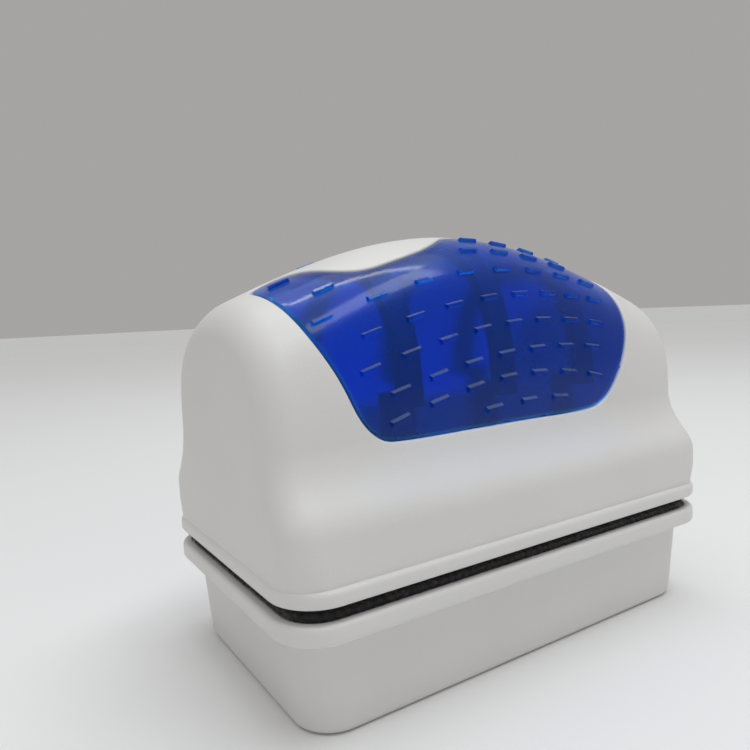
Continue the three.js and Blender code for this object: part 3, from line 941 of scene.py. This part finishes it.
tub = start_block("tub", TUB_FOOT[0] * MM, TUB_FOOT[1] * MM, 0, TUB_TOP * MM)
pick(tub, "faces", face_looking(1))
bpy.ops.transform.resize(value=(TUB_HEAD[0] / TUB_FOOT[0], TUB_HEAD[1] / TUB_FOOT[1], 1),
                         center_override=(0, 0, TUB_TOP * MM))
done()
pick(tub, "edges", upright_edge)
bpy.ops.mesh.bevel(offset=TUB_CORNER * MM, segments=14, affect="EDGES")
done()
pick(tub, "edges", edge_at_height(0))
bpy.ops.mesh.bevel(offset=TUB_EDGE * MM, segments=5, affect="EDGES")
done()
pick(tub, "faces", face_looking(1))
bpy.ops.mesh.inset(thickness=TUB_WALL * MM)
bpy.ops.mesh.extrude_region_move(TRANSFORM_OT_translate={"value": (0, 0, -(TUB_TOP - TUB_FLOOR) * MM)})
done()
float_lip = lip("float_lip", FLOAT_LIP_BOTTOM, FLOAT_LIP_TOP, FLOAT_MOUTH, 1)
float_tub = join("float_tub", tub, float_lip)
soften(float_tub)
coat(float_tub, white_plastic)
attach(float_tub, "floating_half")
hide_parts("float_case")
report(float_tub)

# %% [markdown]
# ## Pads
# Each pad is a slab of cloth with cut edges, never quite flat. A block with bevelled corners is
# remeshed into even small faces, and a fine cloud of displacement makes the nap.


# %% The pads
PAD_CORNER = 6.8
PAD_FACE = 0.5     # size of a remeshed face
NAP_GRAIN = 0.8


def pad(name, node, paint, body, nap):
    """A cloth slab in the space of its node, with a nap of the given depth."""
    low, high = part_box(node)
    slab = start_block(name, high.x - low.x, high.y - low.y, low.z, high.z)
    pick(slab, "edges", upright_edge)
    bpy.ops.mesh.bevel(offset=PAD_CORNER * MM, segments=10, affect="EDGES")
    done()
    apply_modifier(slab, "REMESH", mode="VOXEL", voxel_size=PAD_FACE * MM)
    cloud = bpy.data.textures.new(name + "_nap", "CLOUDS")
    cloud.noise_scale = NAP_GRAIN * MM
    cloud.noise_depth = 2
    apply_modifier(slab, "DISPLACE", texture=cloud, strength=nap * MM, mid_level=0.9,
                   texture_coords="LOCAL")
    soften(slab, 60)
    coat(slab, paint)
    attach(slab, body)
    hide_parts(node)
    report(slab)


pad("handle_felt", "handle_pad", felt, "handle_half", 0.35)
pad("float_scrub", "float_pad", scrub_fabric, "floating_half", 0.5)

# %% [markdown]
# ## Floor and light
# A pale floor that runs out of sight, and soft light from above, which is what draws the bright
# band on the grip's shoulder. Most of it is a pale sky and a very wide sun, because a lamp near the
# object would leave the far floor dark. Two long tubes over the object are what the glossy shoulder mirrors,
# and a weak lamp in front keeps the upright walls from going grey.


# %% Floor and lamps
bpy.ops.mesh.primitive_plane_add(size=12, location=(0, 0, 0))
floor = bpy.context.object
floor.name = "floor"
floor_paint = Paint("floor", Roughness=0.6)
dust = floor_paint.noise(3, detail=2)
floor_paint.drive("Base Color", floor_paint.mix(dust, (0.80, 0.80, 0.80, 1), (0.84, 0.84, 0.84, 1)))
floor.data.materials.append(floor_paint.material)
floor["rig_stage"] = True


def hang(light, place, aim=(0, 0, 0.045)):
    """Puts a lamp at a place and points it at the object."""
    holder = bpy.data.objects.new(light.name, light)
    bpy.context.scene.collection.objects.link(holder)
    holder.location = place
    holder.rotation_euler = (Vector(aim) - Vector(place)).to_track_quat("-Z", "Y").to_euler()


ceiling = bpy.data.lights.new("lamp_ceiling", "SUN")
ceiling.energy = 0.9
ceiling.angle = math.radians(75)
ceiling.color = (0.94, 0.98, 1.0)
hang(ceiling, (-0.05, 0.05, 0.75))


def tube(name, place, size, power, colour):
    """A long flat lamp, such as a fluorescent tube behind a diffuser."""
    light = bpy.data.lights.new(name, "AREA")
    light.shape = "RECTANGLE"
    light.size, light.size_y = size
    light.energy = power
    light.color = colour
    hang(light, place)


tube("tube_broad", (0.12, -0.22, 0.68), (0.50, 0.15), 1.3, (0.95, 0.98, 1.0))
tube("tube_narrow", (0.12, 0.14, 0.70), (0.50, 0.035), 0.6, (0.95, 0.98, 1.0))
tube("lamp_front", (-0.05, -0.65, 0.55), (0.5, 0.3), 0.15, (1.0, 0.97, 0.94))

world = bpy.data.worlds.new("studio")
world.use_nodes = True
world.node_tree.nodes["Background"].inputs["Color"].default_value = (0.96, 0.93, 0.91, 1)
world.node_tree.nodes["Background"].inputs["Strength"].default_value = 0.40
bpy.context.scene.world = world
bpy.context.scene.view_settings.view_transform = "Standard"
print("lit")

# %% [markdown]
# ## Size
# The new pieces stand a little proud of the frame, so how far they grow past its box on each
# side is printed.

# %% Compare with the frame and finish
import json

visual_low, visual_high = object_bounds()
grown = [*(cad_low - visual_low), *(visual_high - cad_high)]
print("grew mm", [round(value / MM, 2) for value in grown])
